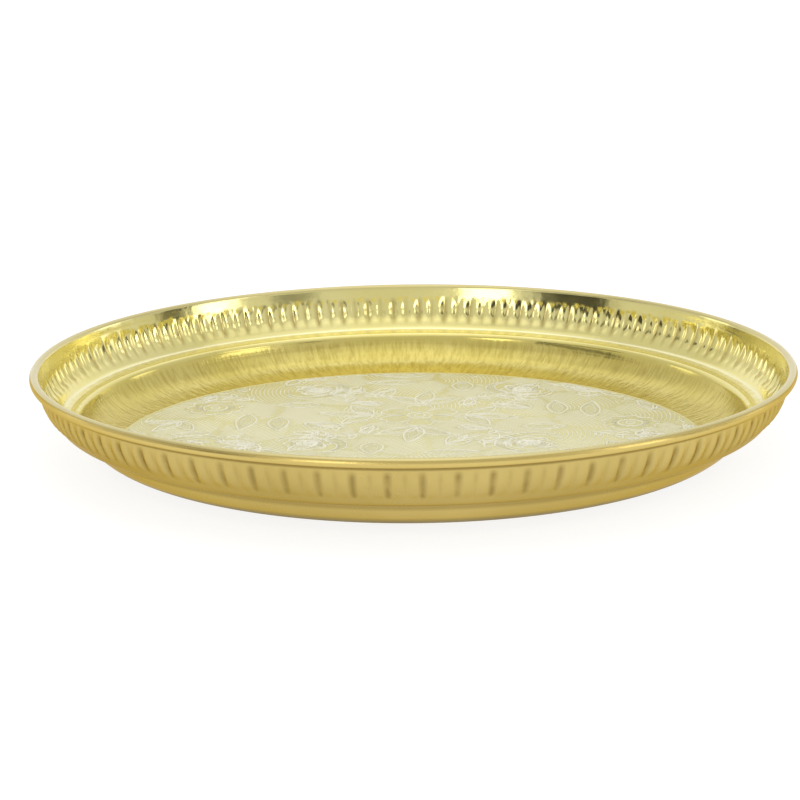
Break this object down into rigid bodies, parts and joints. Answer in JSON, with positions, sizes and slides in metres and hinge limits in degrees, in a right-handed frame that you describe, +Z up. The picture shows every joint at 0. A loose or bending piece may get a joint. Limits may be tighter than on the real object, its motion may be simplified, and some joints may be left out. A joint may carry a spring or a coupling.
{
  "type": "brass tray",
  "caption": "Round brass serving tray: flat etched floor in a dished well, rounded shoulder, narrow ledge, fluted wall and wired rolled edge.",
  "frame": {"origin": "centre of the flat underside, on the surface the tray stands on", "axes": "+Z up along the axis of the round tray; the tray is the same seen from every side, so +X and +Y are any two level directions at right angles"},
  "size_m": [0.3, 0.3, 0.0333],
  "materials": {
    "sheet_brass": "polished",
    "edge_wire": "satin"
  },
  "bodies": {
    "root": {"tray_body": "sheet_brass", "rim_wire": "edge_wire"}
  },
  "joints": []
}
